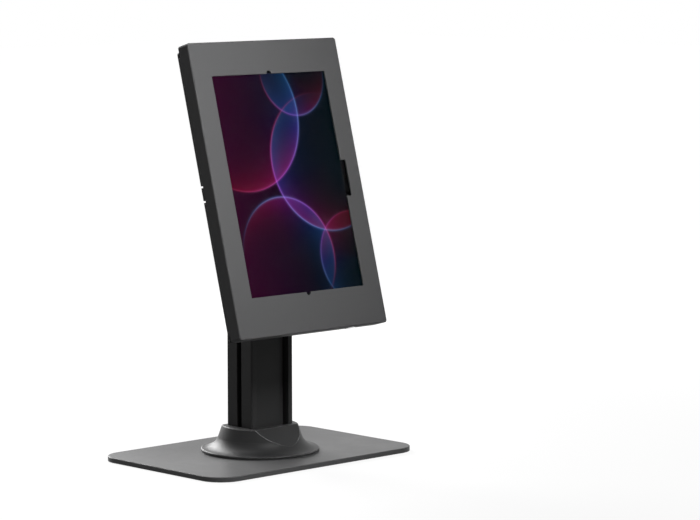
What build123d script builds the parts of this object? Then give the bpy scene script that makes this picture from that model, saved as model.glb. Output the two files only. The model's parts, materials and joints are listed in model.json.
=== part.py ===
"""Tablet display stand: base plate, column, tilting and turning head, lockable tablet housing.

All sizes are in millimetres. +Z is up, the display faces -Y, and the origin is on the table,
below the middle of the base plate. The housing is drawn in its own leaning frame: x across it,
y up along it, and depth measured back from its front face.
"""
import os
from math import cos, radians, sin

from build123d import *

# Base plate
base_width = 280.0
base_depth = 190.0
base_thickness = 5.0
base_corner = 26.0
base_edge = 0.6
foot_height = 1.0
foot_radius = 9.0
foot_inset = 24.0

# Column extrusion
column_width = 57.4
column_depth = 38.2
column_length = 226.5
column_corner = 1.6
lip = 6.2
channel_depth = 9.0
slot_width = 7.0
slot_lip = 3.0
slot_inner_width = 12.0
slot_inner_depth = 5.5
core_hollow_x = 16.0
core_hollow_y = 11.0
port_spacing_x = 27.0
port_spacing_y = 9.0
port_radius = 2.5
column_screw_head = 4.0
column_screw_bite = 12.0
screw_sink_angle = 90.0

# How far a cutting shape reaches past the piece it cuts
cut_past = 1.0

# Cover strips in the front and rear channels
strip_width = 39.6
strip_recess = 5.7
strip_thickness = 2.0
strip_leg = 1.5

# Collar round the column's foot
collar_radius = 61.5
collar_height = 27.6
collar_lip = 3.6
collar_lip_round = 1.2
collar_wall = 3.0
rim_radius = 39.4
rim_round = 0.8
waist_radius = 44.0
waist_height = 14.5
bell_middle_out = 5.2
bell_middle_drop = 6.8
front_cut = 25.4
cut_middle_out = 11.4
cut_middle_drop = 9.8
cut_end_out = 23.4
cut_end_drop = 19.0
collar_clearance = 0.4

# Cap on the column and its two lugs
cap_thickness = 5.0
axis_above_cap = 11.5
lug_inner = 17.0
lug_outer = 24.5
lug_radius = 8.5

# Tilt pivot
tilt_back = 15.0
bolt_radius = 4.0
bolt_head_radius = 6.5
bolt_head_height = 5.0
bolt_socket = 5.8
bolt_socket_depth = 3.0
nut_flats = 13.0
nut_height = 6.5
running_clearance = 0.05
face_gap = 0.1
washer_thickness = 0.55
washer_radius = 8.0

# Tilting head
ear_thickness = 3.0
ear_reach = 26.0
ear_radius = 9.5
ear_root = 24.0
ear_root_depth = 3.0
bracket_thickness = 3.0
bracket_corner = 6.0
bracket_bore_margin = 1.0
head_rise = 23.4
hub_bore = 14.5
hub_radius = 22.0
hub_flange_edge = 7.0
hub_flange_thickness = 3.0
hub_screw_circle = 29.0
hub_screw_radius = 2.0
hub_screw_head = 4.0
friction_thickness = 1.0
friction_inset = 1.0
friction_clearance = 0.4
swivel_edge = 6.0
swivel_thickness = 2.5
swivel_corner = 4.0
plate_screw_spacing = 70.0
plate_screw_radius = 2.0
plate_head_radius = 4.0
plate_head_height = 2.2
ring_overlap = 1.6
ring_thickness = 1.6
ring_screw_inset = 4.1
ring_screw_radius = 1.5
ring_screw_head = 2.9
ring_screw_length = 8.0

# Housing
house_width = 204.0
house_height = 303.0
house_depth = 18.0
house_corner = 3.0
sheet = 1.5
bend = 1.4
cover_depth = 15.0
tray_gap = 0.2
window_width = 155.2
window_height = 227.0
window_rise = 2.8
camera_notch_width = 5.6
camera_notch_depth = 3.5
side_notch_height = 38.0
side_notch_depth = 6.9
side_notch_corner = 1.0
top_relief = 6.0
rim_end_gap = 6.0
side_relief_spacing = 15.0
side_relief_width = 2.0
side_relief_depth = 2.6

# Openings in the back tray
camera_hole_left = 49.0
camera_hole_right = 77.0
camera_hole_low = 84.0
camera_hole_high = 114.0
camera_hole_corner = 2.0
key_slot = 6.4
key_round = 12.0
key_top_low = 46.5
key_top_high = 54.8
key_right_round = 46.6
key_right_end = 58.8
key_left = 52.0
key_left_length = 20.0
key_bottom = 53.0
key_bottom_length = 19.0

# Inner frame, rails and pads
pocket_side = 0.5
frame_wall = 1.2
frame_front = 3.5
ledge_opening_width = 142.0
ledge_opening_height = 216.0
ledge_gap = 0.5
rail_height = 15.0
upper_rail_low = 69.0
lower_rail_low = -79.0
pad_thickness = 1.5
rail_end_gap = 0.3

# Tablet
tablet_width = 179.5
tablet_height = 248.6
tablet_thickness = 7.0
tablet_corner = 18.0
tablet_edge = 2.0
tablet_behind_cover = 0.4
glass_thickness = 0.8
glass_margin = 1.0
display_thickness = 1.4
display_width = 157.6
display_height = 229.0
shell_back_wall = 1.2
shell_side_wall = 2.4

# Cover hinge under the top wall
hinge_drop = 3.6
hinge_back = 2.0
knuckle_radius = 1.9
pin_radius = 1.0
hinge_spacing = 120.0
tray_knuckle = 10.0
cover_knuckle = 9.8
knuckle_gap = 0.2
leaf_thickness = 0.8
leaf_length = 8.0
arm_half = 1.4
arm_below_pin = 4.4
arm_ahead_of_pin = 1.0

# Lock in the bottom wall
lock_x = 55.0
lock_depth = 8.25
barrel_radius = 5.0
barrel_length = 16.0
barrel_flange_radius = 5.6
barrel_flange_thickness = 0.8
plug_radius = 3.5
key_width = 1.2
key_height = 4.6
key_travel = 9.0
lock_nut_flats = 12.0
lock_nut_height = 3.0
cam_reach = 7.4
cam_half_width = 3.0
cam_thickness = 1.5
cam_boss_margin = 0.5
cam_screw_radius = 1.25
cam_screw_head = 2.4
cam_screw_head_height = 1.4
cam_screw_bite = 5.5
strike_offset = 5.4
strike_thickness = 1.2
strike_half_height = 5.0
strike_window_margin = 0.7
strike_front = 3.0

# Heights along the stand
plate_bottom = foot_height
plate_top = plate_bottom + base_thickness
column_top = plate_top + column_length
cap_top = column_top + cap_thickness
axis_height = cap_top + axis_above_cap

# Radii in the head that follow from the bore, the hub and the screw circle
hub_flange_radius = hub_screw_circle + hub_flange_edge
bracket_size = 2 * hub_flange_radius
friction_radius = hub_flange_radius - friction_inset
swivel_size = plate_screw_spacing + 2 * swivel_edge
ring_radius = hub_radius + ring_overlap
ring_screw_circle = hub_bore + ring_screw_inset

# Depths in the head, counted forward from the tilt axis
bracket_front = ear_reach + bracket_thickness
hub_front = bracket_front + hub_flange_thickness
friction_front = hub_front + friction_thickness
swivel_back = friction_front + face_gap
tray_back = swivel_back + swivel_thickness
face_reach = tray_back + house_depth

# The leaning frame of the head and the housing
lean = radians(tilt_back)
outward = Vector(0, -cos(lean), sin(lean))
upward = Vector(0, sin(lean), cos(lean))
axis_point = Vector(0, 0, axis_height)
hub_line = Plane(origin=axis_point + upward * head_rise, x_dir=(1, 0, 0), z_dir=outward)
face = hub_line.offset(face_reach)
side = Plane(origin=axis_point, x_dir=outward, z_dir=(-1, 0, 0))


def at_depth(depth):
    """The plane that lies this far behind the housing's front face."""
    return face.offset(-depth)


def save(part, name):
    """Label a finished piece and write its file."""
    part.label = name
    export_step(part, "parts/" + name + ".step")


os.makedirs("parts", exist_ok=True)

# Base plate: rounded rectangle with countersunk holes for the screws from below
with BuildPart() as base_plate:
    with BuildSketch(Plane.XY.offset(plate_bottom)):
        RectangleRounded(base_width, base_depth, base_corner)
    extrude(amount=base_thickness)
    chamfer(base_plate.faces().sort_by(Axis.Z)[-1].edges(), length=base_edge)
    with Locations(Plane(origin=(0, 0, plate_bottom), x_dir=(1, 0, 0), z_dir=(0, 0, -1))):
        with GridLocations(port_spacing_x, port_spacing_y, 2, 2):
            CounterSinkHole(port_radius, column_screw_head, depth=base_thickness,
                            counter_sink_angle=screw_sink_angle)
save(base_plate.part, "base_plate")

with BuildPart() as base_feet:
    with BuildSketch():
        with GridLocations(base_width - 2 * foot_inset, base_depth - 2 * foot_inset, 2, 2):
            Circle(foot_radius)
    extrude(amount=foot_height)
save(base_feet.part, "base_feet")

# Screw heads with a right-angled cone, so their height follows from the two radii
column_head_height = column_screw_head - port_radius
with BuildPart() as base_screws:
    with BuildSketch(Plane.XY.offset(plate_bottom)):
        with GridLocations(port_spacing_x, port_spacing_y, 2, 2):
            Circle(port_radius)
    extrude(amount=base_thickness + column_screw_bite)
    with GridLocations(port_spacing_x, port_spacing_y, 2, 2):
        with Locations((0, 0, plate_bottom)):
            Cone(column_screw_head, port_radius, column_head_height,
                 align=(Align.CENTER, Align.CENTER, Align.MIN))
save(base_screws.part, "base_screws")

# Collar: a bell with a flat rim, cut by a curved slope at the front and the back
rim_height = plate_top + collar_height
with BuildPart() as collar:
    with BuildSketch(Plane.XZ):
        with BuildLine():
            foot = Line((collar_radius - collar_wall, plate_top), (collar_radius, plate_top))
            lip_side = Line(foot @ 1, (collar_radius, plate_top + collar_lip - collar_lip_round))
            lip_end = (collar_radius - collar_lip_round, plate_top + collar_lip)
            lip_round = RadiusArc(lip_side @ 1, lip_end, -collar_lip_round)
            bell_middle = (waist_radius + bell_middle_out, plate_top + waist_height - bell_middle_drop)
            bell = ThreePointArc(lip_round @ 1, bell_middle, (waist_radius, plate_top + waist_height))
            neck = Line(bell @ 1, (rim_radius, rim_height))
            Line(neck @ 1, (0, rim_height))
            Line((0, rim_height), (0, plate_top))
            Line((0, plate_top), foot @ 0)
        make_face()
    revolve(axis=Axis.Z)
    with BuildSketch(Plane.YZ.offset(-collar_radius)):
        for way in (1, -1):
            with BuildLine():
                start = (way * front_cut, rim_height)
                middle = (way * (front_cut + cut_middle_out), rim_height - cut_middle_drop)
                end = (way * (front_cut + cut_end_out), rim_height - cut_end_drop)
                far = way * (front_cut + cut_end_out + collar_radius)
                ThreePointArc(start, middle, end)
                Line(end, (far, rim_height - cut_end_drop))
                Line((far, rim_height - cut_end_drop), (far, rim_height + cut_past))
                Line((far, rim_height + cut_past), (way * front_cut, rim_height + cut_past))
                Line((way * front_cut, rim_height + cut_past), start)
            make_face()
    extrude(amount=2 * collar_radius, mode=Mode.SUBTRACT)
    with BuildSketch(Plane.XY.offset(plate_top)):
        RectangleRounded(column_width + 2 * collar_clearance, column_depth + 2 * collar_clearance,
                         column_corner + collar_clearance)
    extrude(amount=collar_height + cut_past, mode=Mode.SUBTRACT)
    rim_edges = collar.faces().sort_by(Axis.Z)[-1].outer_wire().edges()
    fillet(rim_edges, radius=rim_round)
save(collar.part, "collar")

# Column: an extrusion with T slots in its sides and open channels front and back
with BuildPart() as column:
    with BuildSketch(Plane.XY.offset(plate_top)):
        RectangleRounded(column_width, column_depth, column_corner)
        for way in (1, -1):
            with Locations((0, way * (column_depth - channel_depth) / 2)):
                Rectangle(column_width - 2 * lip, channel_depth, mode=Mode.SUBTRACT)
            with Locations((way * (column_width - slot_lip) / 2, 0)):
                Rectangle(slot_lip, slot_width, mode=Mode.SUBTRACT)
            with Locations((way * (column_width / 2 - slot_lip - slot_inner_depth / 2), 0)):
                Rectangle(slot_inner_depth, slot_inner_width, mode=Mode.SUBTRACT)
        Rectangle(core_hollow_x, core_hollow_y, mode=Mode.SUBTRACT)
        with GridLocations(port_spacing_x, port_spacing_y, 2, 2):
            Circle(port_radius, mode=Mode.SUBTRACT)
    extrude(amount=column_length)
save(column.part, "column")

# Cover strips: a flat face on two legs that stand on the channel's floor
channel_floor = column_depth / 2 - channel_depth
strip_face = column_depth / 2 - strip_recess
for strip_name, way in (("front_strip", -1), ("rear_strip", 1)):
    with BuildPart() as strip:
        with BuildSketch(Plane.XY.offset(plate_top)):
            with Locations((0, way * (strip_face + channel_floor) / 2)):
                Rectangle(strip_width, strip_face - channel_floor)
            with Locations((0, way * (strip_face - strip_thickness + channel_floor) / 2)):
                Rectangle(strip_width - 2 * strip_leg, strip_face - strip_thickness - channel_floor,
                          mode=Mode.SUBTRACT)
        extrude(amount=column_length)
    save(strip.part, strip_name)

# Cap with two lugs that carry the tilt bolt
with BuildPart() as column_cap:
    with BuildSketch(Plane.XY.offset(column_top)):
        RectangleRounded(column_width, column_depth, column_corner)
    extrude(amount=cap_thickness)
    with BuildSketch(Plane.YZ):
        with Locations((0, axis_height)):
            Circle(lug_radius)
        with Locations((0, cap_top + axis_above_cap / 2)):
            Rectangle(2 * lug_radius, axis_above_cap)
    extrude(amount=lug_outer, both=True)
    with BuildSketch(Plane.XY.offset(cap_top)):
        Rectangle(2 * lug_inner, column_depth)
    extrude(amount=axis_above_cap + lug_radius + cut_past, mode=Mode.SUBTRACT)
    with BuildSketch(Plane.YZ):
        with Locations((0, axis_height)):
            Circle(bolt_radius)
    extrude(amount=lug_outer + cut_past, both=True, mode=Mode.SUBTRACT)
    with Locations((0, 0, cap_top)):
        with GridLocations(port_spacing_x, port_spacing_y, 2, 2):
            CounterSinkHole(port_radius, column_screw_head, depth=cap_thickness,
                            counter_sink_angle=screw_sink_angle)
save(column_cap.part, "column_cap")

with BuildPart() as cap_screws:
    with BuildSketch(Plane.XY.offset(column_top - column_screw_bite)):
        with GridLocations(port_spacing_x, port_spacing_y, 2, 2):
            Circle(port_radius)
    extrude(amount=cap_thickness + column_screw_bite)
    with Locations((0, 0, cap_top)):
        with GridLocations(port_spacing_x, port_spacing_y, 2, 2):
            Cone(port_radius, column_screw_head, column_head_height,
                 align=(Align.CENTER, Align.CENTER, Align.MAX))
save(cap_screws.part, "cap_screws")

# Tilt pivot: bolt, nut and the plain washers between lugs and ears
ear_inner = lug_outer + washer_thickness + 2 * face_gap
ear_outer = ear_inner + ear_thickness
grip = ear_outer + face_gap
with BuildPart() as tilt_bolt:
    with BuildSketch(Plane.YZ.offset(-grip)):
        with Locations((0, axis_height)):
            Circle(bolt_radius)
    extrude(amount=2 * grip + nut_height)
    with BuildSketch(Plane.YZ.offset(-grip)):
        with Locations((0, axis_height)):
            Circle(bolt_head_radius)
    extrude(amount=-bolt_head_height)
    with BuildSketch(Plane.YZ.offset(-grip - bolt_head_height)):
        with Locations((0, axis_height)):
            RegularPolygon(bolt_socket / 2, 6, major_radius=False)
    extrude(amount=bolt_socket_depth, mode=Mode.SUBTRACT)
save(tilt_bolt.part, "tilt_bolt")

with BuildPart() as tilt_nut:
    with BuildSketch(Plane.YZ.offset(grip)):
        with Locations((0, axis_height)):
            RegularPolygon(nut_flats / 2, 6, major_radius=False)
            Circle(bolt_radius, mode=Mode.SUBTRACT)
    extrude(amount=nut_height)
save(tilt_nut.part, "tilt_nut")

with BuildPart() as tilt_washers:
    for way in (1, -1):
        with BuildSketch(Plane.YZ.offset(way * (lug_outer + face_gap))):
            with Locations((0, axis_height)):
                Circle(washer_radius)
                Circle(bolt_radius, mode=Mode.SUBTRACT)
        extrude(amount=way * washer_thickness)
save(tilt_washers.part, "tilt_washers")

# Tilting bracket: a plate behind the hub, and two ears on it that reach back to the bolt
with BuildPart() as tilt_bracket:
    with BuildSketch(hub_line.offset(ear_reach)):
        RectangleRounded(bracket_size, bracket_size, bracket_corner)
        Circle(hub_bore + bracket_bore_margin, mode=Mode.SUBTRACT)
        with PolarLocations(hub_screw_circle, 4, start_angle=45):
            Circle(hub_screw_radius, mode=Mode.SUBTRACT)
    extrude(amount=bracket_thickness)
save(tilt_bracket.part, "tilt_bracket")

with BuildPart() as bracket_ears:
    for way in (1, -1):
        with BuildSketch(side.offset(way * ear_inner)):
            Circle(ear_radius)
            with Locations((ear_reach - ear_root_depth / 2, head_rise)):
                Rectangle(ear_root_depth, 2 * ear_root)
            make_hull()
            Circle(bolt_radius + running_clearance, mode=Mode.SUBTRACT)
        extrude(amount=way * ear_thickness)
save(bracket_ears.part, "bracket_ears")

# Hollow hub that the cradle turns on
tray_inner = tray_back + sheet
hub_end = tray_inner + face_gap
with BuildPart() as swivel_hub:
    with BuildSketch(hub_line.offset(bracket_front)):
        Circle(hub_flange_radius)
    extrude(amount=hub_flange_thickness)
    with BuildSketch(hub_line.offset(hub_front)):
        Circle(hub_radius)
    extrude(amount=hub_end - hub_front)
    with BuildSketch(hub_line.offset(bracket_front)):
        Circle(hub_bore)
    extrude(amount=hub_end - bracket_front, mode=Mode.SUBTRACT)
    with Locations(hub_line.offset(hub_front)):
        with PolarLocations(hub_screw_circle, 4, start_angle=45):
            CounterSinkHole(hub_screw_radius, hub_screw_head, depth=hub_flange_thickness,
                            counter_sink_angle=screw_sink_angle)
    with BuildSketch(hub_line.offset(hub_end)):
        with PolarLocations(ring_screw_circle, 3):
            Circle(ring_screw_radius)
    extrude(amount=-(ring_screw_length - ring_thickness), mode=Mode.SUBTRACT)
save(swivel_hub.part, "swivel_hub")

with BuildPart() as hub_screws:
    with BuildSketch(hub_line.offset(ear_reach)):
        with PolarLocations(hub_screw_circle, 4, start_angle=45):
            Circle(hub_screw_radius)
    extrude(amount=hub_front - ear_reach)
    with Locations(hub_line.offset(hub_front)):
        with PolarLocations(hub_screw_circle, 4, start_angle=45):
            Cone(hub_screw_radius, hub_screw_head, hub_screw_head - hub_screw_radius,
                 align=(Align.CENTER, Align.CENTER, Align.MAX))
save(hub_screws.part, "hub_screws")

with BuildPart() as friction_washer:
    with BuildSketch(hub_line.offset(hub_front)):
        Circle(friction_radius)
        Circle(hub_radius + friction_clearance, mode=Mode.SUBTRACT)
    extrude(amount=friction_thickness)
save(friction_washer.part, "friction_washer")

ring_front = hub_end + ring_thickness
with BuildPart() as retaining_ring:
    with BuildSketch(hub_line.offset(hub_end)):
        Circle(ring_radius)
        Circle(hub_bore, mode=Mode.SUBTRACT)
    extrude(amount=ring_thickness)
    with Locations(hub_line.offset(ring_front)):
        with PolarLocations(ring_screw_circle, 3):
            CounterSinkHole(ring_screw_radius, ring_screw_head, depth=ring_thickness,
                            counter_sink_angle=screw_sink_angle)
save(retaining_ring.part, "retaining_ring")

with BuildPart() as ring_screws:
    with BuildSketch(hub_line.offset(ring_front)):
        with PolarLocations(ring_screw_circle, 3):
            Circle(ring_screw_radius)
    extrude(amount=-ring_screw_length)
    with Locations(hub_line.offset(ring_front)):
        with PolarLocations(ring_screw_circle, 3):
            Cone(ring_screw_radius, ring_screw_head, ring_screw_head - ring_screw_radius,
                 align=(Align.CENTER, Align.CENTER, Align.MAX))
save(ring_screws.part, "ring_screws")

# Back tray: a plate with a shallow rim, short of the top edge where the cover swings
plate_front = house_depth - sheet
tray_height = house_height - top_relief
tray_middle = -top_relief / 2
with BuildPart() as back_tray:
    with BuildSketch(at_depth(plate_front)):
        with Locations((0, tray_middle)):
            RectangleRounded(house_width, tray_height, house_corner)
    extrude(amount=-sheet)
    with BuildSketch(at_depth(plate_front)):
        for way in (1, -1):
            with Locations((way * (house_width - sheet) / 2, tray_middle)):
                Rectangle(sheet, tray_height - 2 * rim_end_gap)
        with Locations((0, -(house_height - sheet) / 2)):
            Rectangle(house_width - 2 * rim_end_gap, sheet)
    extrude(amount=plate_front - cover_depth - tray_gap)
    with BuildSketch(at_depth(house_depth)):
        for way in (1, -1):
            with Locations((way * (house_width - side_relief_depth) / 2, 0)):
                with GridLocations(0, side_relief_spacing, 1, 2):
                    Rectangle(side_relief_depth, side_relief_width)
        Circle(hub_radius + running_clearance)
        with Locations(((camera_hole_left + camera_hole_right) / 2, (camera_hole_low + camera_hole_high) / 2)):
            RectangleRounded(camera_hole_right - camera_hole_left, camera_hole_high - camera_hole_low,
                             camera_hole_corner)
        with Locations((0, key_top_low)):
            Circle(key_round / 2)
        with Locations((0, (key_top_low + key_top_high) / 2)):
            SlotOverall(key_top_high - key_top_low + key_slot, key_slot, rotation=90)
        with Locations((key_right_round, 0)):
            Circle(key_round / 2)
        with Locations(((key_right_round + key_right_end) / 2, 0)):
            SlotOverall(key_right_end - key_right_round + key_slot, key_slot)
        with Locations((-key_left, 0)):
            SlotOverall(key_left_length, key_slot, rotation=90)
        with Locations((0, -key_bottom)):
            SlotOverall(key_bottom_length, key_slot)
        with GridLocations(plate_screw_spacing, plate_screw_spacing, 2, 2):
            Circle(plate_screw_radius)
    extrude(amount=house_depth - cover_depth, mode=Mode.SUBTRACT)
save(back_tray.part, "back_tray")

with BuildPart() as swivel_plate:
    with BuildSketch(hub_line.offset(swivel_back)):
        RectangleRounded(swivel_size, swivel_size, swivel_corner)
        Circle(hub_radius + running_clearance, mode=Mode.SUBTRACT)
        with GridLocations(plate_screw_spacing, plate_screw_spacing, 2, 2):
            Circle(plate_screw_radius, mode=Mode.SUBTRACT)
    extrude(amount=swivel_thickness)
save(swivel_plate.part, "swivel_plate")

with BuildPart() as plate_screws:
    with BuildSketch(hub_line.offset(swivel_back)):
        with GridLocations(plate_screw_spacing, plate_screw_spacing, 2, 2):
            Circle(plate_screw_radius)
    extrude(amount=tray_inner - swivel_back)
    with BuildSketch(hub_line.offset(tray_inner)):
        with GridLocations(plate_screw_spacing, plate_screw_spacing, 2, 2):
            Circle(plate_head_radius)
    extrude(amount=plate_head_height)
save(plate_screws.part, "plate_screws")

# Inner frame: walls round the tablet and a ledge behind it
tablet_front = sheet + tablet_behind_cover
tablet_back = tablet_front + tablet_thickness
ledge_front = tablet_back + ledge_gap
pocket_width = tablet_width + 2 * pocket_side
pocket_height = tablet_height + 2 * pocket_side
with BuildPart() as inner_frame:
    with BuildSketch(at_depth(frame_front)):
        with Locations((0, window_rise)):
            Rectangle(pocket_width + 2 * frame_wall, pocket_height + 2 * frame_wall)
    extrude(amount=frame_front - plate_front)
    with BuildSketch(at_depth(frame_front)):
        with Locations((0, window_rise)):
            Rectangle(pocket_width, pocket_height)
    extrude(amount=frame_front - ledge_front, mode=Mode.SUBTRACT)
    with BuildSketch(at_depth(ledge_front + frame_wall)):
        with Locations((0, window_rise)):
            Rectangle(pocket_width, pocket_height)
    extrude(amount=ledge_front + frame_wall - plate_front, mode=Mode.SUBTRACT)
    with BuildSketch(at_depth(ledge_front)):
        with Locations((0, window_rise)):
            Rectangle(ledge_opening_width, ledge_opening_height)
    extrude(amount=-frame_wall, mode=Mode.SUBTRACT)
save(inner_frame.part, "inner_frame")

# Rails: folded channels across the tray, with a soft pad on each
rail_length = ledge_opening_width - 2 * rail_end_gap
rail_front = tablet_back + pad_thickness
for rail_name, rail_low in (("upper_rail", upper_rail_low), ("lower_rail", lower_rail_low)):
    with BuildPart() as rail:
        with BuildSketch(at_depth(rail_front)):
            with Locations((0, rail_low + rail_height / 2)):
                Rectangle(rail_length, rail_height)
        extrude(amount=rail_front - plate_front)
        with BuildSketch(at_depth(rail_front + frame_wall)):
            with Locations((0, rail_low + rail_height / 2)):
                Rectangle(rail_length, rail_height - 2 * frame_wall)
        extrude(amount=rail_front + frame_wall - plate_front, mode=Mode.SUBTRACT)
    save(rail.part, rail_name)

with BuildPart() as foam_pads:
    with BuildSketch(at_depth(tablet_back)):
        for rail_low in (upper_rail_low, lower_rail_low):
            with Locations((0, rail_low + rail_height / 2)):
                Rectangle(rail_length, rail_height)
    extrude(amount=-pad_thickness)
save(foam_pads.part, "foam_pads")

# Tablet: a thin shell, the display panel and the cover glass
with BuildPart() as tablet_shell:
    with BuildSketch(at_depth(tablet_front)):
        with Locations((0, window_rise)):
            RectangleRounded(tablet_width, tablet_height, tablet_corner)
    extrude(amount=-tablet_thickness)
    fillet(tablet_shell.faces().sort_by(Axis(face.origin, face.z_dir))[0].edges(), radius=tablet_edge)
    with BuildSketch(at_depth(tablet_front)):
        with Locations((0, window_rise)):
            RectangleRounded(tablet_width - 2 * glass_margin, tablet_height - 2 * glass_margin,
                             tablet_corner - glass_margin)
    extrude(amount=-glass_thickness, mode=Mode.SUBTRACT)
    with BuildSketch(at_depth(tablet_front + glass_thickness)):
        with Locations((0, window_rise)):
            RectangleRounded(tablet_width - 2 * shell_side_wall, tablet_height - 2 * shell_side_wall,
                             tablet_corner - shell_side_wall)
    extrude(amount=-(tablet_thickness - glass_thickness - shell_back_wall), mode=Mode.SUBTRACT)
save(tablet_shell.part, "tablet_shell")

with BuildPart() as tablet_glass:
    with BuildSketch(at_depth(tablet_front)):
        with Locations((0, window_rise)):
            RectangleRounded(tablet_width - 2 * glass_margin, tablet_height - 2 * glass_margin,
                             tablet_corner - glass_margin)
    extrude(amount=-glass_thickness)
save(tablet_glass.part, "tablet_glass")

with BuildPart() as tablet_display:
    with BuildSketch(at_depth(tablet_front + glass_thickness)):
        with Locations((0, window_rise)):
            Rectangle(display_width, display_height)
    extrude(amount=-display_thickness)
save(tablet_display.part, "tablet_display")

# Front cover: folded sheet with the window, its notches and a hole for the lock
with BuildPart() as front_cover:
    with BuildSketch(face):
        RectangleRounded(house_width, house_height, house_corner)
    extrude(amount=-cover_depth)
    fillet(front_cover.faces().sort_by(Axis(face.origin, face.z_dir))[-1].edges(), radius=bend)
    with BuildSketch(at_depth(sheet)):
        RectangleRounded(house_width - 2 * sheet, house_height - 2 * sheet, house_corner - sheet)
    extrude(amount=sheet - cover_depth, mode=Mode.SUBTRACT)
    with BuildSketch(face):
        with Locations((0, window_rise)):
            Rectangle(window_width, window_height)
            with Locations((0, window_height / 2 + camera_notch_depth - camera_notch_width)):
                SlotOverall(2 * camera_notch_width, camera_notch_width, rotation=90)
            with Locations((0, -window_height / 2 - camera_notch_depth + camera_notch_width)):
                SlotOverall(2 * camera_notch_width, camera_notch_width, rotation=90)
            with Locations((window_width / 2, 0)):
                RectangleRounded(2 * side_notch_depth, side_notch_height, side_notch_corner)
    extrude(amount=-sheet, mode=Mode.SUBTRACT)
    with BuildSketch(Plane(origin=face.from_local_coords((lock_x, -house_height / 2, -lock_depth)),
                           x_dir=(1, 0, 0), z_dir=upward)):
        Circle(barrel_radius + running_clearance)
    extrude(amount=sheet, mode=Mode.SUBTRACT)
save(front_cover.part, "front_cover")

# Hinge under the cover's top wall
hinge_y = house_height / 2 - hinge_drop
hinge_depth = cover_depth - hinge_back


def hinge_plane(x):
    """Section plane across the hinge: local x runs forward, local y runs up the housing."""
    origin = face.from_local_coords((x, hinge_y, -hinge_depth))
    return Plane(origin=origin, x_dir=outward, z_dir=(-1, 0, 0))


hinge_centres = (-hinge_spacing / 2, hinge_spacing / 2)
arm_root = hinge_y - arm_below_pin
arm_top = house_height / 2 - top_relief - face_gap
arm_behind_pin = plate_front - hinge_depth
with BuildPart() as tray_hinge_arms:
    for centre in hinge_centres:
        with BuildSketch(hinge_plane(centre + tray_knuckle / 2)):
            Circle(knuckle_radius)
            with Locations((0, (arm_top - hinge_y) / 2)):
                Rectangle(2 * arm_half, hinge_y - arm_top)
            with Locations(((arm_ahead_of_pin - arm_behind_pin) / 2, (arm_top + arm_root) / 2 - hinge_y)):
                Rectangle(arm_ahead_of_pin + arm_behind_pin, arm_top - arm_root)
            Circle(pin_radius, mode=Mode.SUBTRACT)
        extrude(amount=tray_knuckle)
save(tray_hinge_arms.part, "tray_hinge_arms")

cover_knuckle_start = tray_knuckle / 2 + knuckle_gap
wall_above = hinge_drop - sheet
with BuildPart() as cover_hinge_leaves:
    for centre in hinge_centres:
        for way in (1, -1):
            near = centre + way * (cover_knuckle_start + cover_knuckle / 2) + cover_knuckle / 2
            with BuildSketch(hinge_plane(near)):
                Circle(knuckle_radius)
                with Locations((leaf_length / 2, wall_above - leaf_thickness / 2)):
                    Rectangle(leaf_length, leaf_thickness)
                with Locations((0, wall_above / 2)):
                    Rectangle(2 * arm_half, wall_above)
                Circle(pin_radius + running_clearance, mode=Mode.SUBTRACT)
            extrude(amount=cover_knuckle)
save(cover_hinge_leaves.part, "cover_hinge_leaves")

with BuildPart() as hinge_pins:
    for centre in hinge_centres:
        with BuildSketch(hinge_plane(centre + cover_knuckle_start + cover_knuckle)):
            Circle(pin_radius)
        extrude(amount=2 * (cover_knuckle_start + cover_knuckle))
save(hinge_pins.part, "hinge_pins")

# Lock in the cover's bottom wall; its axis runs up the housing
lock_y = -house_height / 2
plug_end = lock_y + barrel_length


def lock_plane(y):
    """Plane across the lock's axis at this height on the housing, facing up the housing."""
    return Plane(origin=face.from_local_coords((lock_x, y, -lock_depth)), x_dir=(1, 0, 0), z_dir=upward)


with BuildPart() as lock_barrel:
    with BuildSketch(lock_plane(lock_y - barrel_flange_thickness)):
        Circle(barrel_flange_radius)
    extrude(amount=barrel_flange_thickness)
    with BuildSketch(lock_plane(lock_y)):
        Circle(barrel_radius)
    extrude(amount=barrel_length)
    with BuildSketch(lock_plane(lock_y - barrel_flange_thickness)):
        Circle(plug_radius + running_clearance)
    extrude(amount=barrel_flange_thickness + barrel_length, mode=Mode.SUBTRACT)
save(lock_barrel.part, "lock_barrel")

with BuildPart() as lock_nut:
    with BuildSketch(lock_plane(lock_y + sheet)):
        RegularPolygon(lock_nut_flats / 2, 6, major_radius=False)
        Circle(barrel_radius, mode=Mode.SUBTRACT)
    extrude(amount=lock_nut_height)
save(lock_nut.part, "lock_nut")

cam_start = plug_end + face_gap
with BuildPart() as lock_plug:
    with BuildSketch(lock_plane(lock_y - barrel_flange_thickness)):
        Circle(plug_radius)
    extrude(amount=barrel_flange_thickness + barrel_length + face_gap)
    with BuildSketch(lock_plane(lock_y - barrel_flange_thickness)):
        Rectangle(key_width, key_height)
    extrude(amount=key_travel, mode=Mode.SUBTRACT)
    with BuildSketch(lock_plane(cam_start)):
        Circle(cam_screw_radius)
    extrude(amount=-cam_screw_bite, mode=Mode.SUBTRACT)
save(lock_plug.part, "lock_plug")

with BuildPart() as lock_cam:
    with BuildSketch(lock_plane(cam_start)):
        Circle(plug_radius + cam_boss_margin)
        with Locations((0, cam_reach / 2)):
            Rectangle(2 * cam_half_width, cam_reach)
        Circle(cam_screw_radius, mode=Mode.SUBTRACT)
    extrude(amount=cam_thickness)
save(lock_cam.part, "lock_cam")

cam_end = cam_start + cam_thickness
with BuildPart() as cam_screw:
    with BuildSketch(lock_plane(cam_end)):
        Circle(cam_screw_radius)
    extrude(amount=-(cam_thickness + cam_screw_bite))
    with BuildSketch(lock_plane(cam_end)):
        Circle(cam_screw_head)
    extrude(amount=cam_screw_head_height)
save(cam_screw.part, "cam_screw")

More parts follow.
